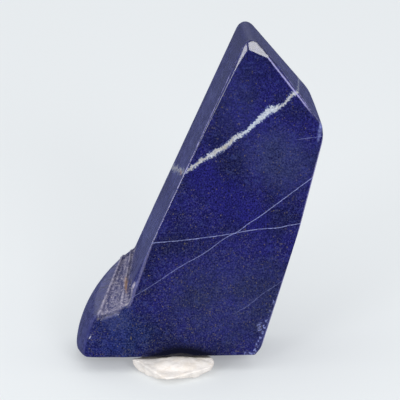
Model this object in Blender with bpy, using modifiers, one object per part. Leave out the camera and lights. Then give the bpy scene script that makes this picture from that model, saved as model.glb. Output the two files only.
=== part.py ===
"""Polished lapis lazuli free form, propped on a lump of white display putty.

The stone is modelled the way it is worked: a block is sawn into a leaning
prism, its corners are ground round, a round foot swells out at the lower left,
and a rough hollow with two flutes is left in the top of that foot. The stone
leans back, resting on its rear bottom edge and on the putty under its front.

Metres, +Z up, front towards -Y. The stone has a frame of its own: X across the
front face, Y into the stone, Z up the front face from the base.
"""

from math import atan2, cos, radians, sin, tan

import bmesh
import bpy
from mathutils import Matrix, Vector

# Stone, overall
THICKNESS = 0.036
LEAN = radians(7.3)

# Front outline, as sharp corners (x, z) before they are ground round
FOOT = (-0.0340, 0.0)
APEX = (0.01685, 0.1093)
SHOULDER = (0.0422, 0.0791)
WAIST = (0.0330, 0.0438)
HEEL = (0.0193, 0.0)
APEX_RADIUS = 0.0034
SHOULDER_RADIUS = 0.0145
HEEL_RADIUS = 0.0045

# Round foot at the lower left: an ellipsoid about the middle of the thickness, its length
# leaning over to the right with the stone
BULGE_CENTRE = (-0.0114, 0.0161, 0.0106)
BULGE_RADII = (0.0230, 0.0430, 0.0334)
BULGE_LEAN = radians(45.8)

# Rough hollow in the top of the foot: a sloping floor with two flutes running back in it,
# which narrow as they go
HOLLOW = {"point": (-0.0267, 0.0, 0.0176), "normal": (-0.30, -0.33, 1.0)}
FLUTE_RUN = (0.165, 1.0, 0.380)
FLUTES = (
    {"mouth": (-0.0294, 0.0, 0.0164), "radius": 0.0070, "end_radius": 0.0060, "length": 0.029},
    {"mouth": (-0.0246, 0.0, 0.0175), "radius": 0.0042, "end_radius": 0.0012, "length": 0.026},
)
FLUTE_OVERRUN = 0.008

# Cut faces, each a point and a normal
FRONT = {"point": (0.0, 0.0, 0.0), "normal": (0.0, -1.0, 0.0)}
BACK = {"point": (0.0, THICKNESS, 0.0), "normal": (0.0, 1.0, 0.0)}
BASE = {"point": (0.0, 0.0, 0.0), "normal": (0.0, 0.0, -1.0)}
CHEEK = {"point": (-0.0156, 0.0, 0.0395), "normal": (-0.745, -0.610, 0.267)}
TOP_LEFT = {"point": (0.0164, 0.0, 0.1036), "normal": (-0.290, -0.940, 0.183)}
TOP_RIGHT = {"point": (0.0164, 0.0, 0.1036), "normal": (0.221, -0.940, 0.260)}
TOE_RIGHT = {"point": (0.0040, 0.0, 0.0), "normal": (0.075, -0.060, -1.0)}
TOE_LEFT = {"point": (-0.0200, 0.0, 0.0), "normal": (-0.070, -0.040, -1.0)}
BACK_RIGHT = {"point": (0.0396, 0.036, 0.072), "normal": (0.680, 0.680, -0.253)}
BACK_LOW = {"point": (0.0, 0.036, 0.045), "normal": (0.0, 1.0, -0.060)}

# Shallow hollow in the lower front edge, where the putty is pressed in
SCOOP_CENTRE = (-0.0066, -0.008, -0.0114)
SCOOP_RADIUS = 0.0171

# Putty: a squashed ball with a few swellings round it, each a count, size and phase. Its
# centre is measured from below the middle of the stone's lower front edge.
PUTTY_CENTRE = (-0.0088, -0.0012, 0.0032)
PUTTY_RADII = (0.0130, 0.0113, 0.0052)
PUTTY_SWELLINGS = ((2, 0.030, 0.6), (3, 0.030, 2.1), (5, 0.014, 0.4))
GAP = 0.0003

# Looks
LAPIS_COLOUR = (0.02, 0.02, 0.14)
LAPIS_ROUGHNESS = 0.15
PUTTY_COLOUR = (0.86, 0.82, 0.77)
PUTTY_ROUGHNESS = 0.7

# Working values: the side of the rough block, how near a vertex must be to count as at a
# corner, the cuts in one ground corner, and the surface quality of the solids
STOCK = 0.30
REACH = 0.0001
ARC_STEPS = 8
VOXEL = 0.0009
SMOOTH_STEPS = 8
KEEP_FACES = 0.07


def clear_scene():
    for obj in list(bpy.data.objects):
        bpy.data.objects.remove(obj, do_unlink=True)


def new_collection(name):
    collection = bpy.data.collections.new(name)
    bpy.context.scene.collection.children.link(collection)
    return collection


def new_material(name, colour, roughness):
    material = bpy.data.materials.new(name)
    material.use_nodes = True
    shader = material.node_tree.nodes["Principled BSDF"]
    shader.inputs["Base Color"].default_value = (*colour, 1.0)
    shader.inputs["Roughness"].default_value = roughness
    shader.inputs["Metallic"].default_value = 0.0
    return material


def new_object(bm, name, collection):
    mesh = bpy.data.meshes.new(name)
    bm.to_mesh(mesh)
    bm.free()
    obj = bpy.data.objects.new(name, mesh)
    collection.objects.link(obj)
    return obj


def make_cutter(obj):
    obj.hide_render = True
    obj.display_type = "WIRE"
    return obj


def saw(bm, point, normal):
    """Cut away what lies on the side that the normal points to, and close the cut."""
    geometry = bm.verts[:] + bm.edges[:] + bm.faces[:]
    cut = bmesh.ops.bisect_plane(
        bm, geom=geometry, plane_co=point, plane_no=Vector(normal).normalized(), clear_outer=True
    )
    rim = [item for item in cut["geom_cut"] if isinstance(item, bmesh.types.BMEdge)]
    bmesh.ops.edgenet_fill(bm, edges=rim)
    bmesh.ops.recalc_face_normals(bm, faces=bm.faces)


def saw_side(bm, start, end):
    """Cut along the line from start to end on the front, keeping what is on its left."""
    run = Vector((end[0] - start[0], 0.0, end[1] - start[1]))
    outward = run.cross(Vector((0.0, -1.0, 0.0)))
    saw(bm, (start[0], 0.0, start[1]), outward)


def grind_corner(bm, corner, radius):
    """Round the edge that runs back through the stone at a corner of its outline."""
    edges = [
        edge for edge in bm.edges
        if all(abs(v.co.x - corner[0]) < REACH and abs(v.co.z - corner[1]) < REACH
               for v in edge.verts)
    ]
    turn = edges[0].calc_face_angle()
    bmesh.ops.bevel(
        bm, geom=edges, offset=radius * tan(turn / 2),
        offset_type="OFFSET", segments=ARC_STEPS, profile=0.5, affect="EDGES",
    )


def grind_between(bm, corner, normal_a, normal_b, radius):
    """Round the corner between two sides with a fan of cuts that touch one arc."""
    corner = Vector((corner[0], 0.0, corner[1]))
    centre = corner - radius * (normal_a + normal_b) / (1.0 + normal_a.dot(normal_b))
    for step in range(1, ARC_STEPS):
        normal = normal_a.slerp(normal_b, step / ARC_STEPS)
        saw(bm, centre + radius * normal, normal)


def rod(bm, start, end, radius_start, radius_end):
    """Add a closed round rod from start to end, tapering from one radius to the other."""
    along = end - start
    place = (
        Matrix.Translation((start + end) / 2)
        @ along.to_track_quat("Z", "Y").to_matrix().to_4x4()
    )
    bmesh.ops.create_cone(
        bm, cap_ends=True, segments=32, radius1=radius_start, radius2=radius_end,
        depth=along.length, matrix=place,
    )


def boolean(obj, name, operation, cutter):
    modifier = obj.modifiers.new(name, "BOOLEAN")
    modifier.operation = operation
    modifier.solver = "EXACT"
    modifier.object = cutter


def make_block(collection):
    """The leaning prism, left long at the front, back and base for the envelope to trim."""
    bm = bmesh.new()
    bmesh.ops.create_cube(bm, size=STOCK)
    saw_side(bm, APEX, FOOT)
    saw_side(bm, SHOULDER, APEX)
    saw_side(bm, WAIST, SHOULDER)
    saw_side(bm, HEEL, WAIST)
    grind_corner(bm, APEX, APEX_RADIUS)
    grind_corner(bm, SHOULDER, SHOULDER_RADIUS)
    saw(bm, CHEEK["point"], CHEEK["normal"])
    return new_object(bm, "lapis_stone", collection)


def make_foot(collection):
    """The round foot, with the sloping floor of the rough hollow already cut."""
    bm = bmesh.new()
    lean = Matrix.Rotation(BULGE_LEAN, 4, "Y")
    place = Matrix.Translation(BULGE_CENTRE) @ lean @ Matrix.Diagonal((*BULGE_RADII, 1.0))
    bmesh.ops.create_icosphere(bm, subdivisions=5, radius=1.0, matrix=place)
    saw(bm, HOLLOW["point"], HOLLOW["normal"])
    return make_cutter(new_object(bm, "foot", collection))


def make_envelope(collection):
    """The outer planes that trim the block and the foot together."""
    bm = bmesh.new()
    bmesh.ops.create_cube(bm, size=STOCK)
    for facet in (FRONT, BACK, BASE, TOP_LEFT, TOP_RIGHT, TOE_RIGHT, TOE_LEFT, BACK_RIGHT, BACK_LOW):
        saw(bm, facet["point"], facet["normal"])
    side = Vector((WAIST[1] - HEEL[1], 0.0, HEEL[0] - WAIST[0])).normalized()
    grind_between(bm, HEEL, Vector(BASE["normal"]), side, HEEL_RADIUS)
    return make_cutter(new_object(bm, "envelope", collection))


def make_flute(number, flute, collection):
    """A tapering rod that starts on the hollow's floor in front of the stone."""
    lift = Vector(HOLLOW["normal"]).normalized() * flute["radius"]
    run = Vector(FLUTE_RUN).normalized()
    start = Vector(flute["mouth"]) + lift - run * FLUTE_OVERRUN
    bm = bmesh.new()
    end = start + run * (flute["length"] + FLUTE_OVERRUN)
    rod(bm, start, end, flute["radius"], flute["end_radius"])
    return make_cutter(new_object(bm, f"flute_{number}", collection))


def make_scoop(collection):
    bm = bmesh.new()
    bmesh.ops.create_icosphere(
        bm, subdivisions=4, radius=SCOOP_RADIUS, matrix=Matrix.Translation(SCOOP_CENTRE)
    )
    return make_cutter(new_object(bm, "scoop", collection))


def finished_corners(objects):
    """The lowest and highest corner of the objects' finished surfaces, in the world."""
    bpy.context.view_layer.update()
    graph = bpy.context.evaluated_depsgraph_get()
    points = []
    for obj in objects:
        finished = obj.evaluated_get(graph)
        points += [finished.matrix_world @ v.co for v in finished.data.vertices]
    low = Vector(min(p[axis] for p in points) for axis in range(3))
    high = Vector(max(p[axis] for p in points) for axis in range(3))
    return low, high


def move_all(shift):
    for obj in bpy.data.objects:
        obj.location += Vector(shift)


def finish_skin(stone):
    """One even skin over the cut shape, its edges polished soft."""
    remesh = stone.modifiers.new("even skin", "REMESH")
    remesh.mode = "VOXEL"
    remesh.voxel_size = VOXEL
    polish = stone.modifiers.new("polish", "SMOOTH")
    polish.iterations = SMOOTH_STEPS
    thin = stone.modifiers.new("fewer faces", "DECIMATE")
    thin.ratio = KEEP_FACES


def make_stone(parts, cutters):
    """The stone, leaning back with its rear bottom edge on the ground."""
    stone = make_block(parts)
    boolean(stone, "add foot", "UNION", make_foot(cutters))
    boolean(stone, "trim to envelope", "INTERSECT", make_envelope(cutters))
    for number, flute in enumerate(FLUTES, start=1):
        boolean(stone, f"cut flute {number}", "DIFFERENCE", make_flute(number, flute, cutters))
    boolean(stone, "cut scoop", "DIFFERENCE", make_scoop(cutters))
    finish_skin(stone)
    for obj in bpy.data.objects:
        obj.rotation_euler = (-LEAN, 0.0, 0.0)
    low, _ = finished_corners([stone])
    move_all((0.0, 0.0, -low.z))
    stone.data.materials.append(new_material("polished lapis", LAPIS_COLOUR, LAPIS_ROUGHNESS))
    return stone


def make_putty(stone, parts):
    """A squashed lump with a flat underside, its top flat against the stone's base."""
    bm = bmesh.new()
    bmesh.ops.create_uvsphere(bm, u_segments=40, v_segments=24, radius=1.0)
    for vert in bm.verts:
        angle = atan2(vert.co.y, vert.co.x)
        swell = 1.0 + sum(
            size * cos(count * angle + phase) for count, size, phase in PUTTY_SWELLINGS
        )
        vert.co.x *= swell * PUTTY_RADII[0]
        vert.co.y *= swell * PUTTY_RADII[1]
        vert.co.z *= PUTTY_RADII[2]
    bmesh.ops.translate(bm, verts=bm.verts, vec=PUTTY_CENTRE)
    saw(bm, (0.0, 0.0, 0.0), (0.0, 0.0, -1.0))
    base_up = Vector((0.0, sin(LEAN), cos(LEAN)))
    saw(bm, stone.location - base_up * GAP, base_up)
    putty = new_object(bm, "putty_lump", parts)
    putty.data.materials.append(new_material("white putty", PUTTY_COLOUR, PUTTY_ROUGHNESS))
    return putty


def main():
    clear_scene()
    parts = new_collection("lapis lazuli")
    cutters = new_collection("cutters")
    stone = make_stone(parts, cutters)
    putty = make_putty(stone, parts)
    low, high = finished_corners([stone, putty])
    middle = (low + high) / 2
    move_all((-middle.x, -middle.y, 0.0))


main()
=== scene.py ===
"""Lapis lazuli free form: a polished stone propped on display putty, in a pale light studio.

The stone is worked as a lapidary would: a block is sliced into a leaning prism, its corners
are ground round, a foot swells out at the lower left, and the rough hollow in that foot keeps
its natural skin. Everything is in metres, +Z up, with the polished front towards -Y. The
stone is shaped in a frame of its own, X across the front, Y into it and Z up it from the base,
then leaned back and stood in place.
"""

from math import cos, pi, radians, sin, tan

import bmesh
import bpy
from mathutils import Matrix, Vector


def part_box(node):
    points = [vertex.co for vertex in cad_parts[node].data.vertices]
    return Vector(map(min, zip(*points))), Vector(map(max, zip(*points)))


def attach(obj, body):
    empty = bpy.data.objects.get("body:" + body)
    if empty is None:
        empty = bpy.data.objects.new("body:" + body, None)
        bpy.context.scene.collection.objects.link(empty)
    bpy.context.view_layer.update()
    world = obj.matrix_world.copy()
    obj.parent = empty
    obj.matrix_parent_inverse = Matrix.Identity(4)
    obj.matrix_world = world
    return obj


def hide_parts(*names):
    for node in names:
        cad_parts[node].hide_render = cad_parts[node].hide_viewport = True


bl_info = {
    "name": "Lapis Lazuli Free Form",
    "version": (1, 0, 0),
    "blender": (4, 5, 0),
    "location": "3D View > Sidebar > Lapis",
    "description": "Shapes and finishes a polished lapis lazuli stone propped on display putty",
    "category": "Add Mesh",
}

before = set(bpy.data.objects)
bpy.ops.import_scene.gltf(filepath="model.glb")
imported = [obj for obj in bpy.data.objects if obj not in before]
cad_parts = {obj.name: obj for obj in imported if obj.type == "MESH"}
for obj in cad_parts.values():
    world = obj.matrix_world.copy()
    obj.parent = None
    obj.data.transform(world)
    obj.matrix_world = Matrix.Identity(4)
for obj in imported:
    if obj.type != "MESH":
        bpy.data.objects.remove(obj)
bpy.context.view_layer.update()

# How the stone stands: where the origin of its own frame is, and how far it leans back
STAND = Vector((-0.00028, -0.01848, 0.00412))
LEAN = radians(7.3)

# Front outline of the stone, as sharp corners (x, z), and the radius each is ground to
FOOT = (-0.0340, 0.0)
APEX = (0.01685, 0.1093)
SHOULDER = (0.0422, 0.0791)
WAIST = (0.0330, 0.0438)
HEEL = (0.0193, 0.0)
APEX_RADIUS = 0.0034
SHOULDER_RADIUS = 0.0145
HEEL_RADIUS = 0.0065


def side_cut(start, end):
    """The flat cut straight back along a line of the outline, which has the stone on its left."""
    return (start[0], 0.0, start[1]), Vector((end[1] - start[1], 0.0, start[0] - end[0]))


# Flat cuts, each a point and the direction that faces away from the stone
LEFT_SIDE = side_cut(APEX, FOOT)
TOP_SIDE = side_cut(SHOULDER, APEX)
RIGHT_SIDE = side_cut(WAIST, SHOULDER)
LOW_SIDE = side_cut(HEEL, WAIST)
SHOULDER_CUT = ((0.03695, 0.0, 0.08296), (0.817, -0.040, 0.576))
CHEEK_CUT = ((-0.0156, 0.0, 0.0395), (-0.745, -0.610, 0.267))
LEFT_STRIP_CUT = ((-0.00515, 0.0, 0.0620), (-0.577, -0.766, 0.283))
HOLLOW_CUT = ((-0.0267, 0.0, 0.0176), (-0.30, -0.33, 1.0))
FRONT = ((0.0, 0.0, 0.0), (0.0, -1.0, 0.0))
BASE = ((0.0, 0.0, 0.0), (0.0, 0.0, -1.0))
LEFT_CHAMFER = ((0.0164, 0.0, 0.1036), (-0.290, -0.940, 0.183))
RIGHT_CHAMFER = ((0.0164, 0.0, 0.1036), (0.109, -0.959, 0.236))
RIGHT_STRIP = ((0.0341, 0.0, 0.0858), (0.239, -0.954, 0.182))
LOW_STRIP = ((0.02775, 0.0, 0.0270), (0.659, -0.707, -0.256))
HEEL_STRIP = ((0.01865, 0.0, 0.0022), (0.537, -0.707, -0.460))
RISING_FRONT = ((0.0, 0.0, 0.0012), (0.0, -0.180, -1.0))
TOE_RIGHT = ((0.0040, 0.0, 0.0), (0.075, -0.060, -1.0))
TOE_LEFT = ((-0.0200, 0.0, 0.0), (-0.070, -0.040, -1.0))
FRONT_CUTS = (FRONT, BASE, LEFT_CHAMFER, RIGHT_CHAMFER, RIGHT_STRIP, LOW_STRIP, HEEL_STRIP,
              RISING_FRONT, TOE_RIGHT, TOE_LEFT)

# Cuts at the back: where each crosses the back face (x, z), and its direction
BACK_CUTS = (
    ((0.0396, 0.072), (0.680, 0.680, -0.253)),
    ((0.0, 0.045), (0.0, 1.0, -0.060)),
)

# The foot that swells out at the lower left: an ellipsoid, its length leaning with the stone
BULGE_CENTRE = (-0.0114, 0.0161, 0.0106)
BULGE_RADII = (0.0230, 0.0430, 0.0334)
BULGE_LEAN = radians(45.8)

# Flutes in the hollow: where each starts, its radius there and at its far end, its length
FLUTE_RUN = Vector((0.165, 1.0, 0.380)).normalized()
FLUTES = (
    ((-0.0294, 0.0, 0.0164), 0.0070, 0.0060, 0.029),
    ((-0.0246, 0.0, 0.0175), 0.0042, 0.0012, 0.026),
)
FLUTE_OVERRUN = 0.008

# The ridges either side of the wider flute: x where y is 0, and how x grows with y
LEFT_RIDGE = (-0.0332, 0.291)
RIGHT_RIDGE = (-0.0260, 0.148)

# The narrower flute, on the right of the wider one: how far across it ends, with the ridges
# at 0 and 1, and how deep it sags. Half widths of the ridges and their height for each depth.
NARROW_FLUTE_END = 1.5
NARROW_FLUTE_SAG = 2.2
LEFT_CREST = 0.14
RIGHT_CREST = 0.12
CREST_SHARE = 0.4

# Where the natural skin is: lowest height, furthest back, how far under the hollow's cut and
# how far over it (on the foot and on the body), and how far in from the left side's cut, where
# it also keeps between two depths. The slack tells the foot from the body.
SKIN_LOWEST = 0.010
SKIN_BACK = 0.034
SKIN_UNDER = 0.0016
SKIN_OVER_FOOT = 0.0008
SKIN_OVER_BODY = 0.0062
SKIN_REACH = 0.0045
SKIN_IN_BODY = (0.0006, 0.027)
SKIN_FADE = 0.16
SIDE_SLACK = 0.0003

# Where handling has worn the foot round: left of and below its corner (x, z), and on its side,
# between two heights and a little left of the ridge; each with its fade and smoothing passes
FOOT_CORNER = (-0.0255, 0.014)
FOOT_CORNER_FADE = 0.004
FOOT_CORNER_PASSES = 120
FOOT_SIDE_HEIGHTS = (0.008, 0.030)
FOOT_SIDE_GAP = 0.0006
FOOT_SIDE_FADE = 0.0012
FOOT_SIDE_PASSES = 90

# Shallow hollow in the lower front edge, where the putty is pressed in
SCOOP_CENTRE = (-0.0066, -0.008, -0.0107)
SCOOP_RADIUS = 0.0150

# The putty: its middle, the fuller part that wells up in front, the mesh size of its skin, how
# much that is smoothed, and the colour of the painted shade on its top at the left, by the stone
PUTTY_CENTRE = (-0.0091, -0.0197, 0.0032)
WELL_CENTRE = (-0.0078, -0.0206, 0.0028)
WELL_SIZE = (0.0200, 0.0120, 0.0052)
PUTTY_SKIN = 0.0003
PUTTY_PASSES = 18
PUTTY_PAINTED_SHADE = (0.55, 0.53, 0.52)

# The cut under the stone's base: how far inside the base it is there, and how much it tips back
PRESSED_IN = 0.00045
PRESSED_TILT = LEAN + 0.12

# Flat cuts on the putty: on the table, under the stone's base, on top, and round the front
PUTTY_CUTS = (
    ((0.0, 0.0, 0.0), (0.0, 0.0, -1.0)),
    (STAND + Vector((0.0, sin(LEAN), cos(LEAN))) * PRESSED_IN,
     (0.0, sin(PRESSED_TILT), cos(PRESSED_TILT))),
    ((0.0, -0.0185, 0.0046), (0.0, -0.16, 1.0)),
    ((-0.0157, -0.0252, 0.0020), (-0.80, -0.53, -0.25)),
    ((-0.0021, -0.0262, 0.0020), (0.47, -0.80, -0.35)),
    ((0.0, -0.0306, 0.0020), (0.0, -0.344, -0.939)),
    ((-0.0006, -0.0260, 0.0016), (0.50, -0.40, -0.77)),
)

# Where the camera and the lamps look, and how far the picture's middle is from there
AIM = Vector((0.0, 0.0, 0.055))
AIM_SHIFT = (0.00068, -0.00166)
LAMP_DISTANCE = 1.2
SENSOR_WIDTH = 36.0

# Colours of the light: from under the table, at the horizon and below, and overhead
TABLE_GLOW_COLOUR = (0.96, 0.985, 1.0, 1.0)
HORIZON_COLOUR = (0.095, 0.100, 0.150)
SKY_COLOUR = (0.96, 0.98, 1.0)

# The rough block's size, the steps in a ground corner, and the most triangles in the stone
STOCK = 0.30
ARC_STEPS = 8
TRIANGLE_LIMIT = 190_000

ORIGIN = (0.0, 0.0, 0.0)
MM = 1000.0


# Settings a user may change


class LapisStoneSettings(bpy.types.PropertyGroup):
    thickness: bpy.props.FloatProperty(
        name="Thickness", description="Front to back through the stone", default=0.036,
        min=0.02, max=0.06, unit="LENGTH",
    )
    skin: bpy.props.FloatProperty(
        name="Skin Detail", description="Mesh size of the stone's skin", default=0.00032,
        min=0.0003, max=0.002, unit="LENGTH",
    )
    polish: bpy.props.IntProperty(
        name="Polish", description="Smoothing passes that soften the edges", default=2,
        min=0, max=20,
    )
    flute_depth: bpy.props.FloatProperty(
        name="Flute Depth", description="How deep the natural flutes sag between their ridges",
        default=0.0011, min=0.0, max=0.003, unit="LENGTH",
    )
    crust_height: bpy.props.FloatProperty(
        name="Crust Height", description="Height of the fine natural relief in the hollow",
        default=0.0006, min=0.0, max=0.003, unit="LENGTH",
    )
    blue: bpy.props.FloatVectorProperty(
        name="Blue", description="Main colour of the polished stone", subtype="COLOR",
        default=(0.0078, 0.0066, 0.106), min=0.0, max=1.0,
    )
    night: bpy.props.FloatVectorProperty(
        name="Night Blue", description="Darkest grains of the stone", subtype="COLOR",
        default=(0.0030, 0.0040, 0.048), min=0.0, max=1.0,
    )
    haze: bpy.props.FloatVectorProperty(
        name="Haze", description="Pale clouds of fine calcite in the blue", subtype="COLOR",
        default=(0.042, 0.053, 0.165), min=0.0, max=1.0,
    )
    azure: bpy.props.FloatVectorProperty(
        name="Azure", description="Brighter, greener blue low on the foot", subtype="COLOR",
        default=(0.010, 0.030, 0.130), min=0.0, max=1.0,
    )
    calcite: bpy.props.FloatVectorProperty(
        name="Calcite", description="Body of the white vein", subtype="COLOR",
        default=(0.42, 0.43, 0.46), min=0.0, max=1.0,
    )
    pale_vein: bpy.props.FloatVectorProperty(
        name="Pale Vein", description="Colour of the thin veins", subtype="COLOR",
        default=(0.27, 0.30, 0.58), min=0.0, max=1.0,
    )
    pyrite: bpy.props.FloatVectorProperty(
        name="Pyrite", description="Golden flecks", subtype="COLOR",
        default=(0.24, 0.19, 0.09), min=0.0, max=1.0,
    )
    dust: bpy.props.FloatVectorProperty(
        name="Pyrite Dust", description="Grains of pyrite too fine to see one by one",
        subtype="COLOR", default=(0.078, 0.080, 0.060), min=0.0, max=1.0,
    )
    # Colour of the pale lines along the edges: painted highlights where the rounded edges catch
    # the lamps, with some bruised stone
    worn: bpy.props.FloatVectorProperty(
        name="Edge Highlight and Bruise", description="Bruised stone along the edges", subtype="COLOR",
        default=(0.40, 0.38, 0.72), min=0.0, max=1.0,
    )


class LapisPuttySettings(bpy.types.PropertyGroup):
    width: bpy.props.FloatProperty(
        name="Width", description="Across the lump, left to right", default=0.026,
        min=0.01, max=0.05, unit="LENGTH",
    )
    depth: bpy.props.FloatProperty(
        name="Depth", description="Across the lump, front to back", default=0.0226,
        min=0.01, max=0.05, unit="LENGTH",
    )
    height: bpy.props.FloatProperty(
        name="Height", description="Of the round lump before it is pressed flat",
        default=0.0104, min=0.004, max=0.03, unit="LENGTH",
    )
    colour: bpy.props.FloatVectorProperty(
        name="Colour", description="Warm white of the putty", subtype="COLOR",
        default=(0.88, 0.825, 0.775), min=0.0, max=1.0,
    )


class LapisStudioSettings(bpy.types.PropertyGroup):
    table: bpy.props.FloatProperty(
        name="Table", description="Radius of the pale table", default=0.7, min=0.2, max=3.0,
        unit="LENGTH",
    )
    table_colour: bpy.props.FloatVectorProperty(
        name="Table Colour", description="Colour of the pale table", subtype="COLOR",
        default=(0.52, 0.536, 0.544), min=0.0, max=1.0,
    )
    table_glow: bpy.props.FloatProperty(
        name="Table Glow", description="Light from under the table, which thins the shadows",
        default=0.30, min=0.0, max=1.0,
    )
    azimuth: bpy.props.FloatProperty(
        name="Azimuth", description="Camera direction, to the right of straight ahead",
        default=radians(-3.0), subtype="ANGLE",
    )
    elevation: bpy.props.FloatProperty(
        name="Elevation", description="Camera height above the horizon",
        default=radians(19.4), subtype="ANGLE",
    )
    distance: bpy.props.FloatProperty(
        name="Distance", description="Camera to stone", default=1.5, min=0.3, max=5.0,
        unit="LENGTH",
    )
    view_width: bpy.props.FloatProperty(
        name="View Width", description="Width of the picture at the stone", default=0.13149,
        min=0.05, max=1.0, unit="LENGTH",
    )


# Modelling by hand


def deselect_all():
    if bpy.context.object and bpy.context.object.mode != "OBJECT":
        bpy.ops.object.mode_set(mode="OBJECT")
    bpy.ops.object.select_all(action="DESELECT")


def pick(piece):
    deselect_all()
    bpy.context.view_layer.objects.active = piece
    piece.select_set(True)


def name_new(name):
    piece = bpy.context.object
    piece.name = name
    piece.data.name = name
    return piece


def add_block(name):
    deselect_all()
    bpy.ops.mesh.primitive_cube_add(size=STOCK)
    return name_new(name)


def slice_off(piece, point, normal):
    """Cut the piece with a plane, take away the side the normal points to and close the cut."""
    pick(piece)
    bpy.ops.object.mode_set(mode="EDIT")
    bpy.ops.mesh.select_all(action="SELECT")
    bpy.ops.mesh.bisect(
        plane_co=point, plane_no=Vector(normal).normalized(), use_fill=True, clear_outer=True
    )
    bpy.ops.mesh.select_all(action="SELECT")
    bpy.ops.mesh.normals_make_consistent(inside=False)
    bpy.ops.object.mode_set(mode="OBJECT")


def grind_corner(piece, corner, radius):
    """Round the edge that runs back through the stone at a corner of its outline."""
    pick(piece)
    bpy.ops.object.mode_set(mode="EDIT")
    bpy.ops.mesh.select_mode(type="EDGE")
    bpy.ops.mesh.select_all(action="DESELECT")
    bm = bmesh.from_edit_mesh(piece.data)
    turn = 0.0
    for edge in bm.edges:
        if all((v.co.xz - Vector(corner)).length < 0.0001 for v in edge.verts):
            edge.select_set(True)
            turn = edge.calc_face_angle()
    bmesh.update_edit_mesh(piece.data)
    bpy.ops.mesh.bevel(
        offset=radius * tan(turn / 2), offset_type="OFFSET", segments=ARC_STEPS, profile=0.5,
        affect="EDGES",
    )
    bpy.ops.object.mode_set(mode="OBJECT")


def apply_modifier(piece, kind, **settings):
    pick(piece)
    modifier = piece.modifiers.new(kind.lower(), kind)
    for key, value in settings.items():
        setattr(modifier, key, value)
    bpy.ops.object.modifier_apply(modifier=modifier.name)


def combine(piece, tool, operation):
    """Join, keep or cut with another shape, which is used up."""
    apply_modifier(piece, "BOOLEAN", operation=operation, solver="EXACT", object=tool)
    bpy.data.objects.remove(tool, do_unlink=True)


def settle(piece):
    """Put the piece's place, turn and scale in its mesh."""
    pick(piece)
    bpy.ops.object.transform_apply(location=True, rotation=True, scale=True)


def fit_to_box(piece, low, high):
    """Stretch the piece by the little that makes it fill its box in the frame."""
    points = [v.co for v in piece.data.vertices]
    least = Vector(min(p[axis] for p in points) for axis in range(3))
    most = Vector(max(p[axis] for p in points) for axis in range(3))
    piece.scale = [(high[a] - low[a]) / (most[a] - least[a]) for a in range(3)]
    piece.location = [low[a] - least[a] * piece.scale[a] for a in range(3)]
    settle(piece)


def rise(value, start, span):
    """0 up to start, growing to 1 over the span."""
    return min(1.0, max(0.0, (value - start) / span))


def mark_region(piece, name, strength_at):
    """Weight paint a region for modifiers; strength_at gives each vertex's weight."""
    strengths = [max(0.0, min(strength_at(v.co), 1.0)) for v in piece.data.vertices]
    group = piece.vertex_groups.new(name=name)
    for index, strength in enumerate(strengths):
        if strength > 0.001:
            group.add([index], strength, "REPLACE")
    return strengths


def finish_surface(piece, material):
    """Shade the piece smooth and give it its material."""
    pick(piece)
    bpy.ops.object.shade_smooth()
    piece.data.materials.clear()
    piece.data.materials.append(material)


def cloud_texture(name, size, depth=2):
    texture = bpy.data.textures.new(name, "CLOUDS")
    texture.noise_scale = size
    texture.noise_depth = depth
    return texture


# Shader building


def fill(tree, node, inputs):
    """Give a node's inputs their values or links."""
    for key, value in inputs.items():
        if isinstance(value, bpy.types.NodeSocket):
            tree.links.new(value, node.inputs[key])
        else:
            node.inputs[key].default_value = value


def put(tree, kind, inputs, **settings):
    """Add a node, set its options and fill its inputs."""
    node = tree.nodes.new(kind)
    for key, value in settings.items():
        setattr(node, key, value)
    fill(tree, node, inputs)
    return node


def calc(tree, operation, a, b=0.0, clamp=False):
    inputs = {0: a, 1: b}
    return put(tree, "ShaderNodeMath", inputs, operation=operation, use_clamp=clamp).outputs[0]


def calc_vector(tree, operation, a, b, output="Vector"):
    return put(tree, "ShaderNodeVectorMath", {0: a, 1: b}, operation=operation).outputs[output]


def fold(tree, operation, values):
    """Multiply, or otherwise combine, all the values."""
    result = values[0]
    for value in values[1:]:
        result = calc(tree, operation, result, value)
    return result


def tint(colour):
    """A colour as a socket takes it; one that comes by a link stays as it is."""
    return colour if isinstance(colour, bpy.types.NodeSocket) else (*colour, 1.0)


def blend_colour(tree, factor, a, b):
    inputs = {0: factor, 6: tint(a), 7: tint(b)}
    return put(tree, "ShaderNodeMix", inputs, data_type="RGBA").outputs[2]


def blend_value(tree, factor, a, b):
    return put(tree, "ShaderNodeMix", {0: factor, 2: a, 3: b}, data_type="FLOAT").outputs[0]


def ramp(tree, value, low, high, out_low=0.0, out_high=1.0, kind="SMOOTHSTEP"):
    """Go from one level to the other as the value goes from low to high."""
    inputs = {0: value, 1: low, 2: high, 3: out_low, 4: out_high}
    return put(tree, "ShaderNodeMapRange", inputs, interpolation_type=kind).outputs[0]


def noise(tree, place, scale, detail=3.0, roughness=0.55, distortion=0.0):
    inputs = {"Vector": place, "Scale": scale, "Detail": detail, "Roughness": roughness,
              "Distortion": distortion}
    return put(tree, "ShaderNodeTexNoise", inputs).outputs[0]


def waver(tree, place, scale, detail, roughness, strength):
    """Noise either side of zero, which moves an outline to and fro."""
    level = calc(tree, "SUBTRACT", noise(tree, place, scale, detail, roughness), 0.5)
    return calc(tree, "MULTIPLY", level, strength)


def stretch(tree, place, scale, turn=ORIGIN):
    inputs = {"Vector": place, "Scale": scale, "Rotation": turn}
    return put(tree, "ShaderNodeMapping", inputs).outputs[0]


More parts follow.
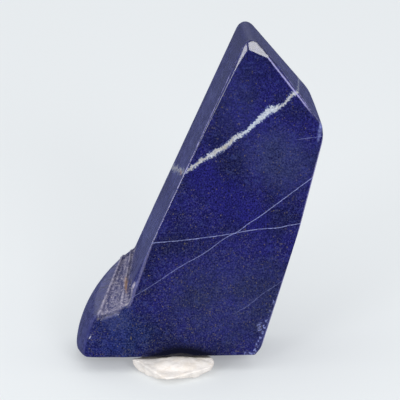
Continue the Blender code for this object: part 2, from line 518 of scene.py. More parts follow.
def drawn_curve(tree, value, points):
    """A smooth curve through points, read at a value; both stay in the points' own units."""
    xs = [x for x, _ in points]
    ys = [y for _, y in points]
    x0, x1, y0, y1 = min(xs), max(xs), min(ys), max(ys)
    along = ramp(tree, value, x0, x1, 0.0, 1.0, "LINEAR")
    node = put(tree, "ShaderNodeFloatCurve", {"Value": along})
    curve = node.mapping.curves[0]
    for index, (x, y) in enumerate(points):
        spot = ((x - x0) / (x1 - x0), (y - y0) / (y1 - y0))
        if index in (0, len(points) - 1):
            curve.points[0 if index == 0 else -1].location = spot
        else:
            curve.points.new(*spot)
    node.mapping.update()
    return ramp(tree, node.outputs[0], 0.0, 1.0, y0, y1, "LINEAR")


def new_group(name, inputs, outputs):
    """An empty node group with named sockets, vectors or values by their defaults; returns it
    with its inner ends."""
    group = bpy.data.node_groups.new(name, "ShaderNodeTree")
    for label, default in inputs.items():
        kind = "NodeSocketVector" if isinstance(default, tuple) else "NodeSocketFloat"
        socket = group.interface.new_socket(label, in_out="INPUT", socket_type=kind)
        socket.default_value = default
    for label in outputs:
        group.interface.new_socket(label, in_out="OUTPUT", socket_type="NodeSocketFloat")
    ends = group.nodes.new("NodeGroupInput").outputs, group.nodes.new("NodeGroupOutput").inputs
    return group, *ends


def use_group(tree, group, inputs):
    return put(tree, "ShaderNodeGroup", inputs, node_tree=group).outputs


def ragged_vein_group():
    """A band either side of a line, with crumbled edges."""
    group, given, made = new_group("Ragged Vein", {
        "Place": ORIGIN, "Offset": 0.0, "Half Width": 0.5, "Raggedness": 0.3, "Grain": 1.0,
        "Softness": 0.1}, ["Mask"])
    push = waver(group, given["Place"], given["Grain"], 5.0, 0.65, given["Raggedness"])
    side = calc(group, "ABSOLUTE", calc(group, "ADD", given["Offset"], push))
    spare = calc(group, "SUBTRACT", given["Half Width"], side)
    mask = calc(group, "DIVIDE", spare, given["Softness"], clamp=True)
    group.links.new(mask, made["Mask"])


def soft_patch_group():
    """One where a patch is, fading to nothing at its rim, with an uneven outline."""
    group, given, made = new_group("Soft Patch", {
        "Place": ORIGIN, "Centre": ORIGIN, "Radii": (1.0, 1.0, 1.0), "Turn": 0.0,
        "Unevenness": 0.3, "Grain": 0.2}, ["Mask"])
    from_centre = calc_vector(group, "SUBTRACT", given["Place"], given["Centre"])
    turned = put(group, "ShaderNodeVectorRotate", {"Vector": from_centre, "Angle": given["Turn"]},
                 rotation_type="Y_AXIS").outputs[0]
    shrunk = calc_vector(group, "DIVIDE", turned, given["Radii"])
    away = calc_vector(group, "LENGTH", shrunk, ORIGIN, "Value")
    push = waver(group, given["Place"], given["Grain"], 4.0, 0.6, given["Unevenness"])
    reach = calc(group, "ADD", away, push)
    group.links.new(ramp(group, reach, 0.25, 1.0, 1.0, 0.0), made["Mask"])


def flecks_group():
    """Scattered grains: only a share of the cells carry one, each of its own size."""
    group, given, made = new_group("Flecks", {
        "Place": ORIGIN, "Spacing": 1.0, "Size": 0.3, "Share": 0.5}, ["Mask", "Tone"])
    per_mm = calc(group, "DIVIDE", 1.0, given["Spacing"])
    bend = put(group, "ShaderNodeTexNoise",
               {"Vector": given["Place"], "Scale": 1.7, "Detail": 2.0}).outputs["Color"]
    bent = calc_vector(group, "ADD", given["Place"], bend)
    cells = put(group, "ShaderNodeTexVoronoi", {"Vector": bent, "Scale": per_mm})
    chance = put(group, "ShaderNodeSeparateColor", {0: cells.outputs["Color"]}).outputs
    here = calc(group, "LESS_THAN", chance[0], given["Share"])
    size = calc(group, "MULTIPLY", given["Size"], calc(group, "ADD", 0.4, chance[1]))
    spare = calc(group, "SUBTRACT", size, cells.outputs["Distance"])
    grain = calc(group, "MULTIPLY", spare, 12.0, clamp=True)
    group.links.new(calc(group, "MULTIPLY", grain, here), made["Mask"])
    group.links.new(chance[2], made["Tone"])


def edge_highlight_and_bruise_group():
    """A thin ragged line where two flat faces meet."""
    group, given, made = new_group("Edge Highlight and Bruise", {
        "Place": ORIGIN, "Point A": ORIGIN, "Normal A": (0.0, 0.0, 1.0), "Point B": ORIGIN,
        "Normal B": (1.0, 0.0, 0.0), "Width": 0.4}, ["Mask"])
    squares = []
    for letter in "AB":
        away = calc_vector(group, "SUBTRACT", given["Place"], given["Point " + letter])
        depth = calc_vector(group, "DOT_PRODUCT", away, given["Normal " + letter], "Value")
        squares.append(calc(group, "MULTIPLY", depth, depth))
    reach = calc(group, "SQRT", calc(group, "ADD", *squares))
    uneven = noise(group, given["Place"], 0.7, 4.0, 0.7)
    wear = ramp(group, uneven, 0.3, 0.7, 0.55, 1.25, "LINEAR")
    width = calc(group, "MULTIPLY", given["Width"], wear)
    spare = calc(group, "SUBTRACT", 1.0, calc(group, "DIVIDE", reach, width))
    group.links.new(calc(group, "MULTIPLY", spare, 2.5, clamp=True), made["Mask"])


def finish_groups():
    """Build each shared node group once and hand them out by name."""
    makers = {"Ragged Vein": ragged_vein_group, "Soft Patch": soft_patch_group,
              "Flecks": flecks_group, "Edge Highlight and Bruise": edge_highlight_and_bruise_group}
    for name, maker in makers.items():
        if name not in bpy.data.node_groups:
            maker()
    return {name: bpy.data.node_groups[name] for name in makers}


def new_material(name):
    material = bpy.data.materials.new(name)
    material.use_nodes = True
    tree = material.node_tree
    return material, tree, tree.nodes["Principled BSDF"]


def stone_place(tree):
    """Object coordinates turned into the stone's own frame, in millimetres."""
    return put(tree, "ShaderNodeMapping", {
        "Vector": tree.nodes.new("ShaderNodeTexCoord").outputs["Object"],
        "Location": Matrix.Rotation(LEAN, 3, "X") @ STAND * -MM,
        "Rotation": (LEAN, 0.0, 0.0), "Scale": (MM, MM, MM)}).outputs[0]


# Lapis

# Paths of the veins across the front: height (mm) against x (mm)
WHITE_VEIN_PATH = (
    (-14.0, 56.3), (-5.5, 62.1), (-0.6, 65.7), (5.7, 69.5), (8.6, 71.2), (11.9, 74.1),
    (15.2, 76.0), (18.4, 79.0), (20.7, 80.9), (23.3, 83.0), (25.6, 83.6), (28.2, 85.4),
    (30.5, 88.0), (32.5, 89.0), (40.0, 93.0),
)
LOWER_VEIN_PATH = (
    (-24.0, 38.9), (-15.4, 39.6), (-6.3, 40.2), (1.2, 41.0), (7.8, 41.8), (12.0, 42.4),
    (15.0, 43.0), (20.2, 43.6), (25.5, 43.9), (29.1, 44.6), (40.0, 46.0),
)
SLANT_VEIN_PATH = (
    (-30.0, 16.0), (-24.5, 19.9), (-20.8, 22.2), (-14.9, 25.8), (-6.4, 31.4), (1.2, 35.6),
    (9.1, 41.1), (12.7, 42.9), (16.3, 45.6), (18.6, 47.0), (27.2, 53.2), (36.7, 60.2),
    (44.0, 65.4),
)
FAINT_VEIN_PATH = (
    (10.0, 14.2), (11.9, 15.5), (16.2, 18.2), (19.8, 21.1), (26.1, 25.4), (30.0, 28.0),
)
UPPER_VEIN_PATH = ((30.0, 73.0), (33.7, 73.4), (39.0, 74.0), (44.0, 74.6))

# Half width of the white vein (mm) against x (mm)
WHITE_VEIN_WIDTH = (
    (-14.0, 0.35), (-6.0, 0.35), (-3.0, 0.5), (0.0, 0.72), (6.0, 0.8), (9.0, 0.9), (12.0, 0.8),
    (15.0, 0.8), (18.5, 0.85), (21.5, 1.25), (24.0, 1.15), (27.0, 0.65), (30.0, 0.8),
    (32.5, 0.45), (40.0, 0.3),
)

# How far a vein drops for each step back, and how the clouds lean across the front
VEIN_DIP = 0.092
CLOUD_TURN = radians(35)

# Patches: middle and radii (mm), turn, how uneven the outline is, and how fine that is
CLEAN_BAND = ((10.0, 0.0, 54.0), (27.0, 60.0, 9.0), radians(-38), 0.5, 0.1)
AZURE_FOOT = ((-26.0, 0.0, 9.0), (15.0, 30.0, 14.0), 0.0, 1.2, 0.18)
RUBBED_FOOT = ((-33.0, 0.0, 5.0), (7.0, 9.0, 10.0), 0.0, 0.5, 0.3)
PALE_CHEEK = ((-15.0, 16.0, 41.0), (9.0, 40.0, 13.0))
RUSTY_VEIN = ((-5.8, 8.0, 61.3), (1.3, 5.0, 0.9), 0.0, 0.7, 0.9)
RUSTY_FLUTE = ((-23.6, 13.0, 22.6), (0.9, 9.0, 3.6), 0.0, 0.7, 0.9)
# A paler band along the shoulder's front edge
PALE_SHOULDER_BAND = ((39.8, 0.8, 77.0), (0.9, 3.0, 6.5), radians(-10), 1.0, 0.8)
LOW_BRUISE = ((19.6, 0.8, 10.6), (1.4, 2.0, 2.2), 0.0, 1.9, 1.2)
HEEL_BRUISE = ((16.2, 0.8, 1.9), (2.6, 2.0, 1.0), 0.0, 1.9, 1.2)
# Painted shade: the dark gap along the stone's front edge, just above the putty
SHADE_ABOVE_PUTTY = ((-6.4, 0.0, -3.0), (19.0, 9.0, 10.0), 0.0, 0.12, 0.2)

# Clouds of fine calcite: strength, then a patch
CLOUDS = (
    (0.95, (26.0, 0.0, 67.0), (17.0, 60.0, 13.0), radians(-30)),
    (0.50, (10.0, 0.0, 20.0), (32.0, 60.0, 22.0)),
    (0.35, (12.0, 0.0, 86.0), (11.0, 60.0, 18.0)),
    (0.80, (-27.0, 0.0, 14.0), (6.0, 30.0, 5.0)),
)

# Colours beside those that a user may change
WISP = (0.030, 0.042, 0.175)
# The narrow sides: their pale colours are partly a painted sheen of the light they mirror at a
# slant; SIDE_SHADE is painted shade
SIDE_STREAK_AND_PAINTED_SHEEN = (0.052, 0.058, 0.225)
SIDE_PALE_SPECK = (0.13, 0.14, 0.33)
SIDE_DARK_SPECK = (0.006, 0.007, 0.070)
SIDE_DARK_BLOTCH = (0.012, 0.015, 0.105)
SIDE_PALE_BLOTCH = (0.080, 0.092, 0.260)
SIDE_SHADE = (0.010, 0.013, 0.080)
CHEEK_HAZE = (0.08, 0.09, 0.26)
VEIN_RIM = (0.15, 0.19, 0.40)
VEIN_CREAM = (0.33, 0.31, 0.27)
VEIN_BLUISH = (0.44, 0.51, 0.62)
VEIN_WHITE = (0.62, 0.66, 0.72)
VEIN_GREY = (0.14, 0.15, 0.24)
VEIN_RUST = (0.34, 0.19, 0.11)
HOLLOW_BLUE = (0.016, 0.019, 0.115)
CRUST_PALE = (0.48, 0.44, 0.56)
CRUST_CRUMB = (0.60, 0.55, 0.58)
FLUTE_RUST = (0.46, 0.27, 0.16)
SHOULDER_PALE = (0.22, 0.25, 0.54)
SCUFF = (0.20, 0.23, 0.52)
# Painted shade for the dark gap above the putty
GAP_SHADE = (0.0010, 0.0013, 0.009)

# Roughness of the polished face, the tip, the narrow sides, worn stone and the natural skin
FACE_ROUGHNESS = 0.13
TIP_ROUGHNESS = 0.11
SIDE_ROUGHNESS = (0.12, 0.42)
WORN_ROUGHNESS = 0.42
SKIN_ROUGHNESS = 0.62


class LapisPainter:
    """Lays the stone's colours over one another, all placed in the stone's own frame."""

    def __init__(self, tree, stone):
        self.tree, self.stone = tree, stone
        self.groups = finish_groups()
        self.place = stone_place(tree)
        self.x, self.y, self.z = put(tree, "ShaderNodeSeparateXYZ", {0: self.place}).outputs
        self.colour = None

    def lay(self, mask, colour, strength=1.0):
        amount = calc(self.tree, "MULTIPLY", mask, strength, clamp=True)
        self.colour = blend_colour(self.tree, amount, self.colour, colour)

    def times(self, *values):
        return fold(self.tree, "MULTIPLY", values)

    def most(self, *values):
        return fold(self.tree, "MAXIMUM", values)

    def soft(self, value, low, high, out_low=0.0, out_high=1.0):
        return ramp(self.tree, value, low, high, out_low, out_high)

    def even(self, value, low, high, out_low=0.0, out_high=1.0):
        return ramp(self.tree, value, low, high, out_low, out_high, "LINEAR")

    def grain(self, scale, low, high, out_low=0.0, out_high=1.0, detail=3.0, roughness=0.65):
        level = noise(self.tree, self.place, scale, detail, roughness)
        return self.even(level, low, high, out_low, out_high)

    def drawn_out(self, scale, detail, roughness, distortion=0.0, turn=0.0):
        """Noise with a scale of its own along each axis, turned about Y."""
        place = stretch(self.tree, self.place, scale, (0.0, turn, 0.0))
        return noise(self.tree, place, 1.0, detail, roughness, distortion)

    def offset(self, path, steepness):
        """Distance from a vein's middle, square to it. Veins dip a little as they go back."""
        height = drawn_curve(self.tree, self.x, path)
        level = calc(self.tree, "ADD", self.z, self.times(self.y, VEIN_DIP))
        return self.times(calc(self.tree, "SUBTRACT", level, height), steepness)

    def band(self, offset, half_width, raggedness, coarseness, softness):
        return use_group(self.tree, self.groups["Ragged Vein"], {
            "Place": self.place, "Offset": offset, "Half Width": half_width,
            "Raggedness": raggedness, "Grain": coarseness, "Softness": softness})["Mask"]

    def vein(self, path, steepness, *look):
        return self.band(self.offset(path, steepness), *look)

    def flecks(self, spacing, size, share):
        return use_group(self.tree, self.groups["Flecks"], {
            "Place": self.place, "Spacing": spacing, "Size": size, "Share": share})

    def patch(self, centre, radii, turn=0.0, unevenness=0.6, coarseness=0.15):
        return use_group(self.tree, self.groups["Soft Patch"], {
            "Place": self.place, "Centre": centre, "Radii": radii, "Turn": turn,
            "Unevenness": unevenness, "Grain": coarseness})["Mask"]

    def edge(self, cut_a, cut_b, width):
        """A line where two cuts meet, used for the painted edge highlights and the bruised chips.
        """
        inputs = {"Place": self.place, "Width": width}
        for letter, (point, normal) in zip("AB", (cut_a, cut_b)):
            inputs["Point " + letter] = Vector(point) * MM
            inputs["Normal " + letter] = Vector(normal).normalized()
        return use_group(self.tree, self.groups["Edge Highlight and Bruise"], inputs)["Mask"]

    def edges(self, *rows):
        """Painted highlight lines along the edges, each given by two cuts, a width and a strength.
        """
        return self.most(*(self.times(self.edge(a, b, width), strength)
                           for a, b, width, strength in rows))

    def painted(self, name):
        return put(self.tree, "ShaderNodeAttribute", {}, attribute_name=name).outputs["Fac"]

    def ground(self):
        """Blue grains, a cleaner saturated band, azure on the foot and pale clouds."""
        tree, stone = self.tree, self.stone
        broad = noise(tree, self.place, 0.07, 3.0, 0.5)
        self.colour = blend_colour(tree, self.soft(broad, 0.35, 0.62), stone.night, stone.blue)
        self.clean = self.patch(*CLEAN_BAND)
        self.lay(self.clean, stone.blue, 0.7)
        self.lay(self.patch(*AZURE_FOOT), stone.azure, 0.42)
        gain = self.grain(1.9, 0.36, 0.64, 0.05, 2.1, 3.0, 0.8)
        self.colour = put(tree, "ShaderNodeVectorMath", {0: self.colour, "Scale": gain},
                          operation="SCALE").outputs[0]

        unclean = self.soft(self.clean, 0.0, 1.0, 1.0, 0.15)
        murk = self.drawn_out((0.5, 0.5, 0.7), 4.0, 0.7, 0.8, CLOUD_TURN)
        self.lay(self.times(self.even(murk, 0.47, 0.62), unclean), stone.night, 0.6)
        self.lay(self.times(self.even(murk, 0.45, 0.34), unclean), WISP, 0.5)
        swirl = self.drawn_out((0.25, 0.3, 0.5), 5.0, 0.65, 1.2, CLOUD_TURN)
        clouds = self.most(*(self.times(self.patch(*place), strength)
                             for strength, *place in CLOUDS))
        self.lay(self.times(clouds, self.soft(swirl, 0.30, 0.62)), stone.haze, 0.22)
        self.lay(self.times(clouds, self.grain(1.7, 0.47, 0.58, detail=4.0, roughness=0.75)),
                 stone.haze, 0.75)
        self.lay(self.soft(swirl, 0.52, 0.72), stone.haze, 0.12)
        self.lay(self.grain(1.0, 0.54, 0.72, detail=4.0, roughness=0.7), stone.haze, 0.38)

    def pyrite(self):
        """Dust too fine to see singly, small flecks, and a few larger grains."""
        stone = self.stone
        where = self.times(self.even(self.z, 100.0, 10.0, 0.35, 1.0),
                           self.soft(self.clean, 0.0, 0.8, 1.0, 0.35),
                           self.grain(0.16, 0.35, 0.65, 0.45, 1.25))
        self.lay(self.times(self.grain(1.9, 0.53, 0.66, roughness=0.7), where), stone.dust, 0.75)
        small = self.flecks(0.62, 0.27, self.times(where, 0.55))
        big = self.flecks(3.1, 0.085, 0.4)
        tone = calc(self.tree, "POWER", small["Tone"], 2.2)
        gold = self.most(self.times(small["Mask"], self.even(tone, 0.0, 1.0, 0.10, 0.75)),
                         self.times(big["Mask"], self.even(big["Tone"], 0.0, 1.0, 0.3, 1.0)))
        self.lay(gold, stone.pyrite)
        return gold

    def thin_veins(self):
        """Two veins that cross near the middle, and two short ones nearer the right edge."""
        lower = self.vein(LOWER_VEIN_PATH, 0.99, 0.15, 0.5, 0.9, 0.14)
        slant = self.times(self.vein(SLANT_VEIN_PATH, 0.82, 0.14, 0.5, 0.9, 0.14),
                           self.even(self.x, -25.0, 16.0, 0.32, 1.15))
        faint = self.times(self.vein(FAINT_VEIN_PATH, 0.8, 0.2, 0.8, 0.7, 0.2),
                           self.soft(self.x, 10.0, 14.0), 0.3)
        upper = self.times(self.vein(UPPER_VEIN_PATH, 1.0, 0.16, 0.4, 0.8, 0.16),
                           self.soft(self.x, 31.0, 34.0), 0.5)
        broken = self.grain(0.9, 0.36, 0.62, 0.45, 1.25)
        self.lay(self.times(self.most(lower, slant, faint, upper), broken), self.stone.pale_vein)

    def white_vein(self):
        """A blue-white crumbled rim round a grey to cream body, wider round the left side."""
        tree = self.tree
        round_left = self.times(self.soft(self.y, 0.5, 5.0), self.soft(self.x, 0.0, -4.0))
        half_width = self.times(drawn_curve(tree, self.x, WHITE_VEIN_WIDTH),
                                self.even(round_left, 0.0, 1.0, 1.0, 1.6))
        wander = self.even(noise(tree, self.place, 0.42, 2.0), 0.3, 0.7, -0.32, 0.32)
        offset = calc(tree, "ADD", self.offset(WHITE_VEIN_PATH, 0.82), wander)
        rim = self.band(offset, calc(tree, "ADD", half_width, 0.14), 3.4, 1.5, 0.3)
        body = self.band(offset, self.times(half_width, 0.80), 3.2, 1.5, 0.25)
        bluish = self.times(self.soft(self.x, 10.0, 17.0), self.soft(self.x, 28.0, 24.0), 0.6)
        milk = self.stone.calcite
        for mask, colour in ((self.grain(0.4, 0.42, 0.6), VEIN_CREAM),
                             (bluish, VEIN_BLUISH),
                             (self.grain(1.4, 0.50, 0.66, 0.0, 0.75), VEIN_WHITE),
                             (self.grain(1.7, 0.48, 0.34, 0.0, 0.6), VEIN_GREY)):
            milk = blend_colour(tree, mask, milk, colour)
        self.lay(rim, VEIN_RIM, 0.5)
        self.lay(self.times(body, self.soft(self.y, 0.5, 3.0, 1.0, 0.8)), milk)
        self.lay(self.patch(*RUSTY_VEIN), VEIN_RUST, 0.6)
        return body

    def sides(self, crust):
        """Narrow sides, less polished: streaked along their length and paler, partly a painted
        sheen, with painted shade near the front edge and tip.
        """
        tree = self.tree
        facing = put(tree, "ShaderNodeSeparateXYZ",
                     {0: tree.nodes.new("ShaderNodeTexCoord").outputs["Normal"]}).outputs[1]
        narrow = self.soft(calc(tree, "ABSOLUTE", facing), 0.88, 0.62)
        self.side = self.times(narrow, calc(tree, "SUBTRACT", 1.0, crust),
                               self.even(self.patch(*RUBBED_FOOT), 0.0, 1.0, 1.0, 0.25))
        self.streaks = self.even(self.drawn_out((0.10, 0.30, 0.09), 6.0, 0.8), 0.36, 0.64)
        towards_tip = self.even(self.z, 84.0, 106.0, 1.0, 0.45)
        specks = self.drawn_out((1.10, 0.77, 1.10), 4.0, 0.75)
        blotches = self.drawn_out((0.45, 0.13, 0.40), 3.0, 0.6)
        # Painted shade: darker near the sides' front edge and towards the tip
        front_edge = self.times(self.soft(self.y, 6.0, 0.5), self.soft(self.z, 76.0, 84.0))
        shade = self.times(self.most(front_edge, self.soft(self.z, 96.0, 106.0)),
                           self.grain(0.35, 0.35, 0.6, 0.4, 1.0))
        # The sides' grain; the pale streaks and blotches also paint the sheen they show at a slant
        for mask, colour, strength in (
                (self.times(self.streaks, towards_tip), SIDE_STREAK_AND_PAINTED_SHEEN, 0.85),
                (self.even(specks, 0.52, 0.68), SIDE_PALE_SPECK, 0.4),
                (self.even(specks, 0.47, 0.34), SIDE_DARK_SPECK, 0.7),
                (self.soft(blotches, 0.50, 0.62), SIDE_DARK_BLOTCH, 0.65),
                (self.soft(blotches, 0.46, 0.34), SIDE_PALE_BLOTCH, 0.5),
                (shade, SIDE_SHADE, 0.75),
                (self.patch(*PALE_CHEEK), CHEEK_HAZE, 0.35)):
            self.lay(self.times(self.side, mask), colour, strength)

    def hollow(self, crust):
        """Natural skin: pale crust streaked along the flutes, paler on the ridges partly as a
        painted highlight, with rust between the ridges.
        """
        tree = self.tree
        left, right = (calc(tree, "ADD", ridge[0] * MM, self.times(self.y, ridge[1]))
                       for ridge in (LEFT_RIDGE, RIGHT_RIDGE))
        across = calc(tree, "DIVIDE", calc(tree, "SUBTRACT", self.x, left),
                      calc(tree, "SUBTRACT", right, left))
        lines = put(tree, "ShaderNodeCombineXYZ", {
            "X": self.times(across, 5.5), "Y": self.times(self.y, 0.16)}).outputs[0]
        striae = self.even(noise(tree, lines, 1.0, 5.0, 0.75), 0.42, 0.62)
        from_right = calc(tree, "ABSOLUTE", calc(tree, "SUBTRACT", across, 1.0))
        # Paler along the ridges: the pale crust, and partly a painted highlight where the ridges
        # catch the light
        ridges = self.most(self.soft(calc(tree, "ABSOLUTE", across), 0.16, 0.0),
                           self.soft(from_right, 0.13, 0.0))
        mouth = self.soft(self.y, 4.5, 0.5)
        pale = self.most(self.times(striae, 0.75), self.times(ridges, 0.9), self.times(mouth, 0.8))
        self.lay(crust, HOLLOW_BLUE, 0.9)
        self.lay(self.times(crust, pale, self.grain(1.1, 0.40, 0.58, 0.25, 1.0)), CRUST_PALE)
        self.lay(self.times(crust, self.grain(1.3, 0.54, 0.68)), CRUST_CRUMB, 0.7)
        self.lay(self.times(crust, self.patch(*RUSTY_FLUTE)), FLUTE_RUST, 0.75)

    def wear(self):
        """Edge lines (painted highlights, some bruising), scuffs at the lower right, painted shade
        above the putty.
        """
        # Painted highlights: pale lines along the edges where the rounded edges catch the lamps,
        # over some bruised stone
        left = self.edges((FRONT, LEFT_SIDE, 0.30, 0.9), (LEFT_CHAMFER, LEFT_SIDE, 0.34, 0.9),
                          (LEFT_STRIP_CUT, LEFT_SIDE, 0.30, 0.9))
        right = self.edges((FRONT, RIGHT_SIDE, 0.45, 0.45), (LOW_STRIP, LOW_SIDE, 0.45, 0.45),
                           (FRONT, TOP_SIDE, 0.34, 1.0), (FRONT, SHOULDER_CUT, 0.40, 0.7),
                           (RIGHT_STRIP, SHOULDER_CUT, 0.42, 0.7),
                           (RIGHT_CHAMFER, TOP_SIDE, 0.36, 1.0),
                           (RIGHT_STRIP, TOP_SIDE, 0.42, 0.6))
        edges = self.most(
            self.times(left, self.even(self.z, 34.0, 64.0)), right,
            self.times(self.edge(RIGHT_STRIP, FRONT, 0.12), 0.6, self.soft(self.z, 80.0, 86.0)),
            self.times(self.edge(FRONT, CHEEK_CUT, 0.5), 0.15, self.soft(self.z, 17.0, 20.0)))
        self.lay(edges, self.stone.worn)
        # A paler band along the shoulder's front edge
        pale_band = self.times(self.patch(*PALE_SHOULDER_BAND), self.grain(0.9, 0.36, 0.60, 0.2, 1.0))
        self.lay(pale_band, SHOULDER_PALE, 0.9)
        low_edge = self.times(self.edge(LOW_STRIP, FRONT, 0.6), self.soft(self.z, 26.0, 12.0))
        chips = self.times(self.most(low_edge, self.edge(HEEL_STRIP, FRONT, 0.7)),
                           self.grain(0.8, 0.47, 0.60), 1.3)
        scuffs = self.most(chips, self.patch(*LOW_BRUISE), self.patch(*HEEL_BRUISE))
        self.lay(self.times(scuffs, self.grain(1.5, 0.44, 0.60)), SCUFF)
        # Painted shade: darkens the stone's lower front just above the putty, where the gap under
        # it falls dark
        self.lay(self.patch(*SHADE_ABOVE_PUTTY), GAP_SHADE, 2.4)
        return self.most(scuffs, self.times(edges, 0.5))


def lapis_material(stone):
    material, tree, shader = new_material("polished_lapis")
    paint = LapisPainter(tree, stone)
    paint.ground()
    gold = paint.pyrite()
    paint.thin_veins()
    crust = paint.painted("crust_paint")
    paint.sides(crust)
    body = paint.white_vein()
    paint.hollow(crust)
    # The scuffs and the pale edge lines, which are painted highlights with some bruising; they
    # also make the stone rougher there
    worn = paint.wear()

    # Polish: bright on the face, duller and streaked on the narrow sides, dry in the hollow
    dull = paint.even(paint.streaks, 0.0, 1.0, *SIDE_ROUGHNESS)
    dull = blend_value(tree, paint.soft(paint.z, 90.0, 104.0), dull, TIP_ROUGHNESS)
    rough = blend_value(tree, paint.side, FACE_ROUGHNESS, dull)
    rough = calc(tree, "ADD", rough, paint.grain(2.6, 0.3, 0.7, 0.0, 0.06))
    rough = blend_value(tree, paint.most(body, worn), rough, WORN_ROUGHNESS)
    rough = blend_value(tree, paint.times(crust, 0.9), rough, SKIN_ROUGHNESS)

    # Relief: flecks stand a hair proud, the vein is a hair low, the crust is grainy
    crumbs = paint.grain(1.3, 0.3, 0.7, 0.0, 4.0, 5.0, 0.7)
    relief = calc(tree, "SUBTRACT", paint.times(gold, 0.2), paint.times(body, 0.35))
    for extra in (paint.times(crumbs, crust), paint.times(paint.streaks, paint.side, 0.8)):
        relief = calc(tree, "ADD", relief, extra)
    bump = put(tree, "ShaderNodeBump", {"Strength": 0.6, "Distance": 0.0001, "Height": relief})
    fill(tree, shader, {
        "Base Color": paint.colour, "Roughness": rough, "Metallic": paint.times(gold, 0.5),
        "Normal": bump.outputs[0], "IOR": 1.5, "Sheen Weight": 0.10, "Sheen Roughness": 0.30,
        "Sheen Tint": tint((0.40, 0.46, 1.0))})
    return material


